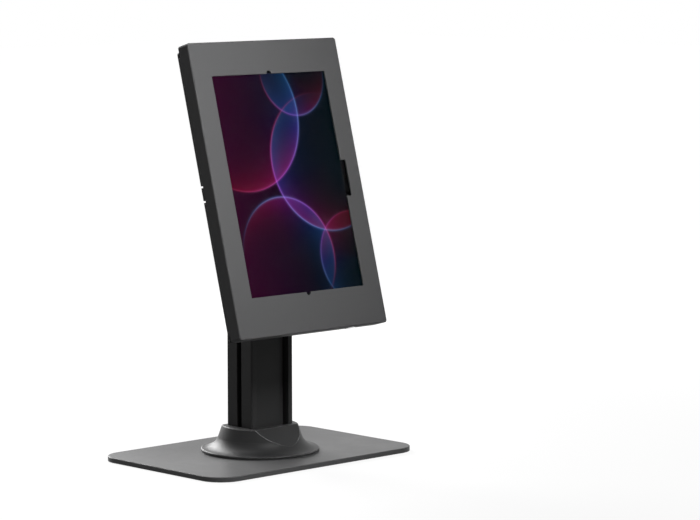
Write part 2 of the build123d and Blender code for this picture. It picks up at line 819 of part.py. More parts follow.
# Strike: a staple on the tray; the turned cam lies behind its front band
strike_y = cam_start + cam_thickness / 2
strike_x = lock_x + strike_offset
strike_gap_front = cam_half_width + strike_window_margin
strike_gap_back = plate_front - lock_depth + cut_past
with BuildPart() as strike_plate:
    with BuildSketch(Plane(origin=face.from_local_coords((strike_x, strike_y, -lock_depth)),
                           x_dir=outward, z_dir=(-1, 0, 0))):
        with Locations(((lock_depth - strike_front - plate_front + lock_depth) / 2, 0)):
            Rectangle(plate_front - strike_front, 2 * strike_half_height)
        with Locations(((strike_gap_front - strike_gap_back) / 2, 0)):
            Rectangle(strike_gap_front + strike_gap_back, cam_thickness + 2 * strike_window_margin,
                      mode=Mode.SUBTRACT)
    extrude(amount=-strike_thickness)
save(strike_plate.part, "strike_plate")
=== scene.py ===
"""Looks of the tablet display stand: finishes, small fittings, lit display and plain studio."""
import json
import math
from functools import partial

import bmesh
import bpy
from mathutils import Matrix, Vector


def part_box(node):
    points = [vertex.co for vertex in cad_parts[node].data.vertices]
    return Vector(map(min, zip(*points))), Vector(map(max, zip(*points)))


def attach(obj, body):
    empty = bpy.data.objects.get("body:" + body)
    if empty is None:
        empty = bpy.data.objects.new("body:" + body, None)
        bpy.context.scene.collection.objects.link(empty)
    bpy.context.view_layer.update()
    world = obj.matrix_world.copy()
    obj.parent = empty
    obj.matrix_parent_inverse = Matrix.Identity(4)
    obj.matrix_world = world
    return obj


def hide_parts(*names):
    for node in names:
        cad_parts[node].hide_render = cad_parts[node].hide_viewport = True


bl_info = {
    "name": "Tablet display stand",
    "version": (1, 0, 0),
    "blender": (4, 5, 0),
    "location": "View3D > Sidebar > Stand",
    "description": "Dresses a tablet display stand: coated metal, fasteners, tablet and studio",
    "category": "Object",
}

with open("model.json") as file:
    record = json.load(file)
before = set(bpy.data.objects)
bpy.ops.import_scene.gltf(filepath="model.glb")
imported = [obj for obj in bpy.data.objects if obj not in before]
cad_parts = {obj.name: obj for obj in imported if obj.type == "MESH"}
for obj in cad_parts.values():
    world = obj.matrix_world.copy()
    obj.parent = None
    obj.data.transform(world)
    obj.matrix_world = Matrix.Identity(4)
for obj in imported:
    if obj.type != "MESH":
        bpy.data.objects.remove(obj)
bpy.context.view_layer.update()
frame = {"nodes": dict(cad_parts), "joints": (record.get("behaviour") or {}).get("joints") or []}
joints = {joint["name"]: joint for joint in frame["joints"]}

# The housing's own frame, read from the joint that it turns on
outward = Vector(joints["turn"]["axis"]).normalized()
upward = Vector((0.0, outward.z, -outward.y))
lean = math.atan2(outward.z, -outward.y)
turn_centre = Vector(joints["turn"]["pos_m"])
face_ahead_of_turn = 0.0176
face_centre = turn_centre + outward * face_ahead_of_turn
tilt_centre = Vector(joints["tilt"]["pos_m"])


def on_housing(x, y, depth):
    """A point given across the housing, up it, and behind its front face."""
    return face_centre + Vector((x, 0.0, 0.0)) + upward * y - outward * depth


# Turns a shape made on the ground so that its top faces out of the housing
facing_out = (math.pi / 2 - lean, 0.0, 0.0)

# The tablet's layers and the screws in the housing, as depths behind its front face
tablet_front = 0.0019
glass_depth = 0.0008
display_front = tablet_front + glass_depth
tablet_back = 0.0089
plate_screw_top = 0.0143
ring_screw_top = 0.0148

# Heights and places on the housing, measured from its centre
window_rise = 0.0028
front_camera_height = 0.1185
rear_camera_place = (0.066, 0.104)

# The small fittings, in the sizes of the solid model
foot_radius = 0.009
bolt_head_height = 0.005
hub_screw_circle = 0.029
hub_screws_behind_turn = 0.004
ring_screw_circle = 0.0186
plate_screw_spacing = 0.070


def put_on_housing(mesh, x, y, depth, facing_back=False):
    """Move a shape made on the ground to a point of the housing, its top outwards or back."""
    angle = facing_out[0] + (math.pi if facing_back else 0.0)
    mesh.transform(Matrix.Translation(on_housing(x, y, depth)) @ Matrix.Rotation(angle, 4, "X"))


class StandSizes(bpy.types.PropertyGroup):
    """Sizes of the fittings that are added to the solid model."""

    socket_share: bpy.props.FloatProperty(
        name="Socket share", description="Width of a screw's hexagon socket against its head",
        default=0.52, min=0.2, max=0.8)
    socket_depth: bpy.props.FloatProperty(
        name="Socket depth", description="Depth of a screw's hexagon socket",
        default=0.0012, min=0.0003, max=0.004, unit="LENGTH")
    knurl_count: bpy.props.IntProperty(
        name="Knurls", description="Ribs round the head of the tilt bolt", default=40, min=12, max=90)
    knurl_depth: bpy.props.FloatProperty(
        name="Knurl depth", description="How far the ribs of the bolt head stand out",
        default=0.00022, min=0.0, max=0.001, unit="LENGTH")
    pane_width: bpy.props.FloatProperty(
        name="Pane width", description="Width of the tablet's cover glass",
        default=0.1775, min=0.1, unit="LENGTH")
    pane_height: bpy.props.FloatProperty(
        name="Pane height", description="Height of the tablet's cover glass",
        default=0.2466, min=0.1, unit="LENGTH")
    pane_corner: bpy.props.FloatProperty(
        name="Pane corner", description="Corner radius of the cover glass",
        default=0.017, min=0.002, unit="LENGTH")
    picture_width: bpy.props.FloatProperty(
        name="Picture width", description="Width of the opening in the inked border",
        default=0.1572, min=0.1, unit="LENGTH")
    picture_height: bpy.props.FloatProperty(
        name="Picture height", description="Height of the opening in the inked border",
        default=0.2286, min=0.1, unit="LENGTH")
    lens_radius: bpy.props.FloatProperty(
        name="Rear camera radius", description="Radius of the tablet's rear camera ring",
        default=0.0062, min=0.003, max=0.012, unit="LENGTH")
    front_lens_radius: bpy.props.FloatProperty(
        name="Front camera radius", description="Radius of the tablet's front camera",
        default=0.0010, min=0.0005, max=0.003, unit="LENGTH")
    edge_radius: bpy.props.FloatProperty(
        name="Edge radius", description="Rounding that the light shows along sheet edges",
        default=0.0005, min=0.0, max=0.002, unit="LENGTH")


class StandColours(bpy.types.PropertyGroup):
    """Colours of the finishes."""

    housing: bpy.props.FloatVectorProperty(
        name="Housing", description="Textured coat of the housing", subtype="COLOR",
        size=4, default=(0.112, 0.112, 0.114, 1.0), min=0.0, max=1.0)
    base: bpy.props.FloatVectorProperty(
        name="Base", description="Satin coat of the base plate", subtype="COLOR",
        size=4, default=(0.104, 0.104, 0.105, 1.0), min=0.0, max=1.0)
    collar: bpy.props.FloatVectorProperty(
        name="Collar", description="Moulded collar", subtype="COLOR",
        size=4, default=(0.022, 0.022, 0.0225, 1.0), min=0.0, max=1.0)
    column: bpy.props.FloatVectorProperty(
        name="Column", description="Dark anodised column", subtype="COLOR",
        size=4, default=(0.040, 0.040, 0.0405, 1.0), min=0.0, max=1.0)
    steel: bpy.props.FloatVectorProperty(
        name="Fasteners", description="Blackened steel", subtype="COLOR",
        size=4, default=(0.16, 0.16, 0.165, 1.0), min=0.0, max=1.0)
    foam: bpy.props.FloatVectorProperty(
        name="Foam", description="Foam pads on the rails", subtype="COLOR",
        size=4, default=(0.045, 0.045, 0.047, 1.0), min=0.0, max=1.0)
    tablet: bpy.props.FloatVectorProperty(
        name="Tablet shell", description="Blasted aluminium of the tablet", subtype="COLOR",
        size=4, default=(0.55, 0.555, 0.57, 1.0), min=0.0, max=1.0)


class StageSettings(bpy.types.PropertyGroup):
    """The plain studio."""

    floor_width: bpy.props.FloatProperty(
        name="Floor width", description="Side of the pale floor", default=16.0, min=2.0, unit="LENGTH")
    top_power: bpy.props.FloatProperty(
        name="Top light", description="Power of the light overhead", default=2.1, min=0.0,
        unit="POWER")
    front_power: bpy.props.FloatProperty(
        name="Front light", description="Power of the light in front and above", default=1.62, min=0.0,
        unit="POWER")
    side_power: bpy.props.FloatProperty(
        name="Side light", description="Power of the light at the front right", default=2.9, min=0.0,
        unit="POWER")
    back_power: bpy.props.FloatProperty(
        name="Back light", description="Power of the light behind", default=30.0, min=0.0,
        unit="POWER")
    ambient: bpy.props.FloatProperty(
        name="Ambient", description="Strength of the light from all round", default=0.052, min=0.0,
        max=2.0)
    focal_length: bpy.props.FloatProperty(
        name="Focal length", description="Focal length in millimetres", default=156.37, min=20.0)
    camera_place: bpy.props.FloatVectorProperty(
        name="Camera place", description="Where the camera stands", size=3, subtype="XYZ",
        default=(-2.09097, -2.31484, 0.55787))
    camera_down: bpy.props.FloatProperty(
        name="Camera down", description="Angle of the view below the horizon",
        default=math.radians(6.459), subtype="ANGLE")
    camera_heading: bpy.props.FloatProperty(
        name="Camera heading", description="Angle of the view round the object",
        default=math.radians(43.813), subtype="ANGLE")
    camera_roll: bpy.props.FloatProperty(
        name="Camera roll", description="Turn of the camera about its view",
        default=math.radians(0.042), subtype="ANGLE")


# Node helpers

number_kind = "NodeSocketFloat"
vector_kind = "NodeSocketVector"
colour_kind = "NodeSocketColor"
groups = {}
finishes = {}
patterns = {}


def put(tree, kind, **values):
    """Add a node and set its properties."""
    node = tree.nodes.new(kind)
    for key, value in values.items():
        setattr(node, key, value)
    return node


def give(tree, socket, value):
    """Link a socket to an input, or set a constant there."""
    if isinstance(value, bpy.types.NodeSocket):
        tree.links.new(value, socket)
    else:
        socket.default_value = value


def feed(tree, node, **values):
    """Give a node its inputs; an underscore in a key stands for a space in the input's name."""
    for key, value in values.items():
        give(tree, node.inputs[key.replace("_", " ")], value)
    return node


def number_of(tree, operation, *operands, clamp=False):
    """The result of a Math node; each operand is a socket or a number."""
    node = put(tree, "ShaderNodeMath", operation=operation, use_clamp=clamp)
    for socket, value in zip(node.inputs, operands):
        give(tree, socket, value)
    return node.outputs[0]


def times(tree, first, second):
    """One value times another."""
    return number_of(tree, "MULTIPLY", first, second)


def vector_of(tree, operation, first, second=None):
    """The result of a Vector Math node, as a vector or a number."""
    node = put(tree, "ShaderNodeVectorMath", operation=operation)
    give(tree, node.inputs[0], first)
    if second is not None:
        give(tree, node.inputs["Scale" if operation == "SCALE" else 1], second)
    return node.outputs["Value" if operation in ("DOT_PRODUCT", "LENGTH") else "Vector"]


def noise_of(tree, place, scale, detail=2.0, roughness=0.5):
    """A noise value over a position."""
    node = put(tree, "ShaderNodeTexNoise")
    return feed(tree, node, Vector=place, Scale=scale, Detail=detail, Roughness=roughness).outputs["Fac"]


def eased(tree, value, low, high, bottom=0.0, top=1.0):
    """A smooth rise from bottom to top while the value goes from low to high."""
    node = put(tree, "ShaderNodeMapRange", interpolation_type="SMOOTHSTEP")
    feed(tree, node, Value=value, From_Min=low, From_Max=high, To_Min=bottom, To_Max=top)
    return node.outputs["Result"]


def bumped(tree, **values):
    """The normal that a Bump node makes of its inputs."""
    return feed(tree, put(tree, "ShaderNodeBump"), **values).outputs["Normal"]


def seen_rays(tree):
    """1 for rays from the camera, in reflections and through glass, and 0 for those that give light."""
    rays = put(tree, "ShaderNodeLightPath").outputs
    seen = number_of(tree, "MAXIMUM", rays["Is Camera Ray"], rays["Is Glossy Ray"])
    return number_of(tree, "MAXIMUM", seen, rays["Is Transmission Ray"])


# Shader node groups

def new_group(name, inputs, outputs):
    """An empty shader node group, kept under its name, with what its inputs give and its end."""
    group = bpy.data.node_groups.new(name, "ShaderNodeTree")
    groups[name] = group
    for socket_name, kind, *default in inputs:
        socket = group.interface.new_socket(socket_name, in_out="INPUT", socket_type=kind)
        if default:
            socket.default_value = default[0]
    for socket_name, kind in outputs:
        group.interface.new_socket(socket_name, in_out="OUTPUT", socket_type=kind)
    return group, put(group, "NodeGroupInput").outputs, put(group, "NodeGroupOutput")


def build_coat_group():
    """Grain, tone and gloss of a sprayed or moulded surface."""
    group, given, end = new_group(
        "sprayed_coat",
        [("Position", vector_kind), ("Colour", colour_kind, (0.1, 0.1, 0.1, 1.0)),
         ("Grain scale", number_kind, 1800.0), ("Clouds", number_kind, 0.06),
         ("Roughness", number_kind, 0.5), ("Roughness spread", number_kind, 0.06)],
        [("Colour", colour_kind), ("Roughness", number_kind), ("Height", number_kind)])
    fine = noise_of(group, given["Position"], given["Grain scale"], 3.0, 0.6)
    coarse = noise_of(group, given["Position"], times(group, given["Grain scale"], 0.31))
    clouds = noise_of(group, given["Position"], 14.0, 4.0, 0.55)
    height = number_of(group, "ADD", times(group, fine, 0.65), times(group, coarse, 0.35))
    swing = number_of(group, "SUBTRACT", clouds, 0.5)
    speck = times(group, number_of(group, "SUBTRACT", fine, 0.5), 0.16)
    tone = number_of(group, "ADD", times(group, swing, given["Clouds"]), speck)
    tone = number_of(group, "ADD", tone, 1.0)
    rough = times(group, swing, given["Roughness spread"])
    rough = number_of(group, "ADD", rough, given["Roughness"], clamp=True)
    colour = vector_of(group, "SCALE", given["Colour"], tone)
    feed(group, end, Colour=colour, Roughness=rough, Height=height)


def build_edge_group():
    """A normal that rounds sharp edges, and a mask of those edges."""
    group, given, end = new_group(
        "rounded_edge", [("Radius", number_kind, 0.0005), ("Gain", number_kind, 3.5)],
        [("Normal", vector_kind), ("Edge", number_kind)])
    bevel = put(group, "ShaderNodeBevel", samples=6)
    rounded = feed(group, bevel, Radius=given["Radius"]).outputs["Normal"]
    plain = put(group, "ShaderNodeNewGeometry").outputs["Normal"]
    alike = vector_of(group, "DOT_PRODUCT", rounded, plain)
    turned_away = number_of(group, "SUBTRACT", 1.0, alike, clamp=True)
    edge = number_of(group, "MULTIPLY", turned_away, given["Gain"], clamp=True)
    feed(group, end, Normal=rounded, Edge=edge)


def build_drawn_group():
    """Fine straight lines left by a die or a brush, along the Z of the position given."""
    group, given, end = new_group(
        "drawn_lines", [("Position", vector_kind), ("Lines per metre", number_kind, 2600.0)],
        [("Value", number_kind)])
    stretch = 0.004
    place = vector_of(group, "MULTIPLY", given["Position"], (1.0, 1.0, stretch))
    feed(group, end, Value=noise_of(group, place, given["Lines per metre"], 3.0, 0.6))


def build_handling_group():
    """Soft marks from handling, as a change of gloss."""
    group, given, end = new_group(
        "handling",
        [("Position", vector_kind), ("Scale", number_kind, 26.0), ("Amount", number_kind, 0.08)],
        [("Gloss change", number_kind)])
    marks = eased(group, noise_of(group, given["Position"], given["Scale"], 5.0, 0.62), 0.42, 0.68)
    feed(group, end, Gloss_change=times(group, marks, given["Amount"]))


def build_ring_group():
    """A ring of light, brightest on one side, that glows inwards from a fine line."""
    names = ["Across", "Up", "Centre across", "Centre up", "Radius", "Bright across", "Bright up", "Reach",
             "Line"]
    group, given, end = new_group(
        "light_ring", [(name, number_kind) for name in names],
        [("Body", number_kind), ("Line", number_kind), ("Turn", number_kind)])
    value = partial(number_of, group)
    product = partial(times, group)
    right = value("SUBTRACT", given["Across"], given["Centre across"])
    above = value("SUBTRACT", given["Up"], given["Centre up"])
    never_zero = 0.0001
    square = value("ADD", product(right, right), value("MULTIPLY_ADD", above, above, never_zero))
    reach = value("SQRT", square)
    facing = value("ADD", product(right, given["Bright across"]), product(above, given["Bright up"]))
    facing = value("MULTIPLY_ADD", value("DIVIDE", facing, reach), 0.5, 0.5, clamp=True)
    lit = value("POWER", facing, 3.0)
    turn = value("SUBTRACT", product(above, given["Bright across"]), product(right, given["Bright up"]))
    turn = value("MULTIPLY_ADD", value("DIVIDE", turn, reach), 0.5, 0.5, clamp=True)
    inward = value("SUBTRACT", given["Radius"], reach)
    fall = value("EXPONENT", product(product(inward, -1.0), given["Reach"]))
    body = product(fall, value("GREATER_THAN", inward, 0.0))
    away = product(value("ABSOLUTE", inward), -1.0)
    line = value("EXPONENT", product(away, given["Line"]))
    feed(group, end, Body=product(body, lit), Line=product(line, lit), Turn=turn)


def use_group(tree, name, **values):
    """What a shared group gives for the inputs named here."""
    return feed(tree, put(tree, "ShaderNodeGroup", node_tree=groups[name]), **values).outputs


# Finishes

def start_material(name):
    """A material, kept under its name, with a Principled shader and the object's own coordinates."""
    material = bpy.data.materials.new(name)
    finishes[name] = material
    material.use_nodes = True
    tree = material.node_tree
    tree.nodes.clear()
    shader = put(tree, "ShaderNodeBsdfPrincipled")
    feed(tree, put(tree, "ShaderNodeOutputMaterial"), Surface=shader.outputs["BSDF"])
    return tree, shader, put(tree, "ShaderNodeTexCoord").outputs["Object"]


def coated(name, colour, roughness, grain_scale, grain_depth, specular=0.5, metallic=0.0, clouds=0.06,
           spread=0.06, edge_wear_and_highlight=1.25, edge_share=1.0, edge_gain=3.5):
    """A sprayed or moulded finish with rounded edges, made paler in colour: slightly as wear, and strongly
    as a painted highlight where the edge tone is high.
    """
    radius = bpy.context.scene.stand_sizes.edge_radius * edge_share
    tree, shader, position = start_material(name)
    coat = use_group(tree, "sprayed_coat", Position=position, Colour=colour, Grain_scale=grain_scale,
                     Clouds=clouds, Roughness=roughness, Roughness_spread=spread)
    marks = use_group(tree, "handling", Position=position, Amount=spread)
    edge = use_group(tree, "rounded_edge", Radius=radius, Gain=edge_gain)
    # Edges paler by the tone given: wear when it is near 1, a painted highlight when it is high, as on the
    # collar
    tone = number_of(tree, "MULTIPLY_ADD", edge["Edge"], edge_wear_and_highlight - 1.0, 1.0)
    paint = vector_of(tree, "SCALE", coat["Colour"], tone)
    rough = number_of(tree, "SUBTRACT", coat["Roughness"], marks["Gloss change"], clamp=True)
    normal = bumped(tree, Height=coat["Height"], Distance=grain_depth, Strength=0.35, Normal=edge["Normal"])
    feed(tree, shader, Base_Color=paint, Roughness=rough, Normal=normal, Metallic=metallic,
         Specular_IOR_Level=specular)


def drawn_metal(name, colour, metallic, roughness, specular, lines):
    """Metal with fine lines along its length."""
    radius = bpy.context.scene.stand_sizes.edge_radius * 0.6
    tree, shader, position = start_material(name)
    drawn = use_group(tree, "drawn_lines", Position=position, Lines_per_metre=lines)["Value"]
    marks = use_group(tree, "handling", Position=position, Scale=40.0, Amount=0.07)
    edge = use_group(tree, "rounded_edge", Radius=radius)
    tone = number_of(tree, "MULTIPLY_ADD", drawn, 0.30, 0.85)
    tone = number_of(tree, "ADD", tone, times(tree, edge["Edge"], 0.35))
    paint = vector_of(tree, "SCALE", colour[:3], tone)
    rough = number_of(tree, "MULTIPLY_ADD", drawn, 0.12, roughness - 0.06)
    rough = number_of(tree, "SUBTRACT", rough, marks["Gloss change"], clamp=True)
    normal = bumped(tree, Height=drawn, Distance=0.00004, Strength=0.25, Normal=edge["Normal"])
    feed(tree, shader, Base_Color=paint, Roughness=rough, Normal=normal, Metallic=metallic,
         Specular_IOR_Level=specular)


def foam_material(name, colour):
    """Closed-cell foam: small cells and a dull surface."""
    tree, shader, position = start_material(name)
    foam = put(tree, "ShaderNodeTexVoronoi", feature="F1")
    cells = feed(tree, foam, Scale=1500.0, Vector=position).outputs["Distance"]
    tone = number_of(tree, "MULTIPLY_ADD", cells, 0.9, 0.6)
    rough = number_of(tree, "MULTIPLY_ADD", noise_of(tree, position, 60.0), 0.1, 0.85)
    feed(tree, shader, Base_Color=vector_of(tree, "SCALE", colour[:3], tone), Roughness=rough,
         Normal=bumped(tree, Height=cells, Distance=0.0002), Specular_IOR_Level=0.2)


def glass_material(name):
    """Clear glass that neither bends nor mirrors light; its faint gloss is on the layers under it."""
    tree, shader, position = start_material(name)
    marks = use_group(tree, "handling", Position=position, Scale=18.0, Amount=0.03)
    feed(tree, shader, Base_Color=(0.97, 0.98, 0.99, 1.0), Transmission_Weight=1.0, IOR=1.0,
         Roughness=number_of(tree, "ADD", marks["Gloss change"], 0.01))


def ramp_of(tree, value, stops):
    """A colour ramp over a value."""
    node = put(tree, "ShaderNodeValToRGB")
    ramp = node.color_ramp
    while len(ramp.elements) > 1:
        ramp.elements.remove(ramp.elements[-1])
    ramp.elements[0].position = stops[0][0]
    ramp.elements[0].color = (*stops[0][1], 1.0)
    for position, colour in stops[1:]:
        ramp.elements.new(position).color = (*colour, 1.0)
    return feed(tree, node, Fac=value).outputs["Color"]


def display_material(name):
    """A lit display with overlapping rings of light on a dark ground."""
    tree, shader, position = start_material(name)
    mapping = put(tree, "ShaderNodeMapping", vector_type="TEXTURE")
    feed(tree, mapping, Vector=position, Location=face_centre, Rotation=(-lean, 0.0, 0.0))
    split = feed(tree, put(tree, "ShaderNodeSeparateXYZ"), Vector=mapping.outputs[0]).outputs
    low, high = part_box("tablet_display")
    half_width = (high.x - low.x) / 2
    across = number_of(tree, "DIVIDE", split["X"], half_width)
    up = number_of(tree, "DIVIDE", split["Z"], half_width)
    total = ramp_of(tree, number_of(tree, "MULTIPLY_ADD", across, 0.5, 0.5),
                    [(0.0, (0.0230, 0.0002, 0.0110)), (0.35, (0.0090, 0.0005, 0.0080)),
                     (0.62, (0.0008, 0.0012, 0.0045)), (1.0, (0.0001, 0.0026, 0.0036))])
    warm = [(0.0, (0.45, 0.004, 0.02)), (0.4, (0.28, 0.004, 0.12)), (0.7, (0.05, 0.02, 0.30)),
            (1.0, (0.004, 0.16, 0.45))]
    cool = [(0.0, (0.004, 0.14, 0.42)), (0.4, (0.02, 0.03, 0.26)), (0.7, (0.18, 0.003, 0.16)),
            (1.0, (0.40, 0.004, 0.04))]
    pale = [(0.0, (0.8, 0.05, 0.12)), (0.45, (0.35, 0.10, 0.7)), (1.0, (0.10, 0.45, 0.95))]
    # Each ring: colours, centre, radius, the way of its bright side in degrees, and strength
    rings = [
        (warm, -0.62, 0.98, 1.02, -38.0, 0.75),
        (cool, 0.72, 0.28, 0.92, 205.0, 0.80),
        (cool, -0.18, -0.92, 0.78, 62.0, 0.70),
        (warm, 0.98, -1.02, 0.62, 158.0, 0.35),
        (cool, 0.42, 1.46, 0.55, 262.0, 0.45),
    ]
    for stops, middle_x, middle_y, radius, way, gain in rings:
        angle = math.radians(way)
        ring = use_group(tree, "light_ring", Across=across, Up=up, Centre_across=middle_x,
                         Centre_up=middle_y, Radius=radius, Bright_across=math.cos(angle),
                         Bright_up=math.sin(angle), Reach=5.5, Line=110.0)
        for colours, part, share in ((stops, "Body", 0.6), (pale, "Line", 0.7)):
            glow = vector_of(tree, "SCALE", ramp_of(tree, ring["Turn"], colours),
                              times(tree, ring[part], gain * share))
            total = vector_of(tree, "ADD", total, glow)
    rough = number_of(tree, "MULTIPLY_ADD", noise_of(tree, position, 900.0), 0.04, 0.12)
    feed(tree, shader, Emission_Color=total, Emission_Strength=1.0, Base_Color=(0.002, 0.002, 0.003, 1.0),
         Roughness=rough, Specular_IOR_Level=0.005)


def dress(material_name, *nodes):
    """Give model nodes a finish."""
    for name in nodes:
        slots = frame["nodes"][name].data.materials
        slots.clear()
        slots.append(finishes[material_name])


# Mesh helpers

crease_angle = math.radians(32.0)


def soften(mesh):
    """Smooth shading with the sharp creases kept."""
    mesh.polygons.foreach_set("use_smooth", [True] * len(mesh.polygons))
    mesh.set_sharp_from_angle(angle=crease_angle)
    mesh.update()


def join_rows(shape, pairs):
    """Faces between the two rows of each pair."""
    for first, second in pairs:
        for step in range(len(first)):
            following = (step + 1) % len(first)
            shape.faces.new((first[step], first[following], second[following], second[step]))


def mesh_of(shape, name):
    """The finished shape as a mesh, its faces turned outwards."""
    bmesh.ops.recalc_face_normals(shape, faces=shape.faces)
    mesh = bpy.data.meshes.new(name)
    shape.to_mesh(mesh)
    shape.free()
    soften(mesh)
    return mesh


def turned_mesh(name, rings, segments=24):
    """A closed turned shape; a ring is radius, height and, for a hexagon across its flats, True."""
    shape = bmesh.new()
    rows = []
    for radius, height, *hexagon in rings:
        row = []
        for step in range(segments):
            angle = 2 * math.pi * step / segments
            reach = radius
            if hexagon:
                reach = radius / math.cos((angle % (math.pi / 3)) - math.pi / 6)
            row.append(shape.verts.new((reach * math.cos(angle), reach * math.sin(angle), height)))
        rows.append(row)
    join_rows(shape, zip(rows, rows[1:]))
    for row, height in ((rows[0], rings[0][1]), (rows[-1], rings[-1][1])):
        middle = shape.verts.new((0.0, 0.0, height))
        for step in range(segments):
            shape.faces.new((row[step], row[(step + 1) % segments], middle))
    return mesh_of(shape, name)


def shares_of(radius, height, shares):
    """Rings given as shares of a radius and a height."""
    return [(radius * across, height * up) for across, up in shares]


def rounded_outline(width, height, corner, steps=10):
    """Points round a rectangle with rounded corners, at the height of the window."""
    points = []
    for x_way, y_way, first in ((1, 1, 0), (-1, 1, 90), (-1, -1, 180), (1, -1, 270)):
        for step in range(steps + 1):
            angle = math.radians(first + 90 * step / steps)
            points.append((x_way * (width / 2 - corner) + corner * math.cos(angle),
                           y_way * (height / 2 - corner) + corner * math.sin(angle) + window_rise))
    return points


def wrapped_mesh(name, layers, ring=False):
    """Joins outlines at their depths on the housing; a ring joins the last to the first, or ends close."""
    shape = bmesh.new()
    rows = []
    for outline, depth in layers:
        rows.append([shape.verts.new(on_housing(x, y, depth)) for x, y in outline])
    pairs = list(zip(rows, rows[1:]))
    if ring:
        pairs.append((rows[-1], rows[0]))
    join_rows(shape, pairs)
    if not ring:
        shape.faces.new(rows[0])
        shape.faces.new(rows[-1])
    return mesh_of(shape, name)


def knurl_mesh(radius, height, count, depth):
    """One rib of a bolt's head; X is 0 at the head's rim, and the rib's foot lies inside it."""
    foot = -0.0004
    margin = 0.0006
    rib_share = 0.62
    half = math.pi * radius / count * rib_share
    rib = bmesh.new()
    rows = []
    for level in (margin, height - margin):
        rows.append([rib.verts.new((x, y, level)) for x, y in ((foot, -half), (depth, 0.0), (foot, half))])
    rib.faces.new(reversed(rows[0]))
    rib.faces.new(rows[1])
    join_rows(rib, [rows])
    return mesh_of(rib, "rib")


def piece(name, mesh, body, slot, finish, *stands_for):
    """Link a finished mesh, give it its finish and let it ride on a body."""
    if finish is not None:
        mesh.materials.append(finishes[finish])
    made = bpy.data.objects.new(name, mesh)
    bpy.context.scene.collection.objects.link(made)
    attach(made, body)
    if stands_for:
        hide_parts(*stands_for)
    return made


def screw_mesh(shank, head, head_height, length, sunk=True):
    """A screw with a hexagon socket; its head's top lies at height 0 and it points down."""
    sizes = bpy.context.scene.stand_sizes
    socket = head * sizes.socket_share
    depth = min(sizes.socket_depth, head_height * 0.7)
    edge = head * 0.04
    rings = [(socket * 0.9, -depth, True), (socket, -depth * 0.93, True), (socket, -edge, True),
             (socket + edge, 0.0, True)]
    if sunk:
        rings += [(head - edge, 0.0), (head, -edge)]
    else:
        rings += [(head * 0.80, 0.0), (head * 0.94, -head_height * 0.2), (head, -head_height * 0.55),
                  (head, -head_height)]
    rings += [(shank, -head_height), (shank, -length + shank * 0.3), (shank * 0.7, -length)]
    return turned_mesh("screw", rings)


# Geometry node trees

def pattern_tree(name, sizes):
    """A geometry node tree, kept under its name, with what its inputs give and its end."""
    tree = bpy.data.node_groups.new(name, "GeometryNodeTree")
    patterns[name] = tree
    shared = [("Geometry", "NodeSocketGeometry"), ("Part", "NodeSocketObject"), ("Place", vector_kind),
              ("Lean", vector_kind), ("Finish", "NodeSocketMaterial")]
    for socket_name, kind in shared + sizes:
        tree.interface.new_socket(socket_name, in_out="INPUT", socket_type=kind)
    tree.interface.new_socket("Geometry", in_out="OUTPUT", socket_type="NodeSocketGeometry")
    return tree, put(tree, "NodeGroupInput").outputs, put(tree, "NodeGroupOutput")


def finish_pattern(tree, given, end, points, **turn):
    """Instances of the part on the points, placed, made real and given their finish."""
    part = put(tree, "GeometryNodeObjectInfo", transform_space="ORIGINAL")
    part = feed(tree, part, Object=given["Part"]).outputs["Geometry"]
    spread = feed(tree, put(tree, "GeometryNodeInstanceOnPoints"), Points=points, Instance=part, **turn)
    placed = feed(tree, put(tree, "GeometryNodeTransform"), Geometry=spread.outputs["Instances"],
                  Translation=given["Place"], Rotation=given["Lean"])
    real = feed(tree, put(tree, "GeometryNodeRealizeInstances"), Geometry=placed.outputs["Geometry"])
    painted = feed(tree, put(tree, "GeometryNodeSetMaterial"), Geometry=real.outputs["Geometry"],
                   Material=given["Finish"])
    feed(tree, end, Geometry=painted.outputs["Geometry"])


def build_rectangle_pattern():
    """Parts on the corners of a rectangle."""
    tree, given, end = pattern_tree("parts_on_rectangle", [("Width", number_kind), ("Depth", number_kind)])
    grid = feed(tree, put(tree, "GeometryNodeMeshGrid"), Vertices_X=2, Vertices_Y=2,
                Size_X=given["Width"], Size_Y=given["Depth"])
    finish_pattern(tree, given, end, grid.outputs["Mesh"])


def build_circle_pattern():
    """Parts round a circle, each turned to face outwards."""
    tree, given, end = pattern_tree("parts_on_circle", [
        ("Count", "NodeSocketInt"), ("Radius", number_kind), ("First angle", number_kind)])
    circle = feed(tree, put(tree, "GeometryNodeMeshCircle"), Vertices=given["Count"], Radius=given["Radius"])
    spin = feed(tree, put(tree, "ShaderNodeCombineXYZ"), Z=given["First angle"])
    turned = feed(tree, put(tree, "GeometryNodeTransform"), Geometry=circle.outputs["Mesh"],
                  Rotation=spin.outputs[0])
    place = put(tree, "GeometryNodeInputPosition")
    aim = put(tree, "FunctionNodeAlignRotationToVector", axis="X", pivot_axis="Z")
    feed(tree, aim, Vector=place.outputs[0])
    finish_pattern(tree, given, end, turned.outputs["Geometry"], Rotation=aim.outputs[0])


def run_pattern(pattern, name, part_mesh, finish, **values):
    """Run a pattern on an empty carrier and return the result as a plain mesh."""
    part = bpy.data.objects.new(name + "_part", part_mesh)
    carrier = bpy.data.objects.new(name + "_carrier", bpy.data.meshes.new(name + "_carrier"))
    bpy.context.scene.collection.objects.link(part)
    bpy.context.scene.collection.objects.link(carrier)
    modifier = carrier.modifiers.new("pattern", "NODES")
    modifier.node_group = patterns[pattern]
    values["Part"] = part
    values["Finish"] = finishes[finish]
    for item in patterns[pattern].interface.items_tree:
        key = item.name.replace(" ", "_")
        if item.in_out == "INPUT" and key in values:
            modifier[item.identifier] = values[key]
    carrier.update_tag()
    bpy.context.view_layer.update()
    depsgraph = bpy.context.evaluated_depsgraph_get()
    mesh = bpy.data.meshes.new_from_object(carrier.evaluated_get(depsgraph))
    mesh.name = name
    carrier.modifiers.remove(modifier)
    bpy.data.objects.remove(carrier)
    bpy.data.objects.remove(part)
    soften(mesh)
    return mesh


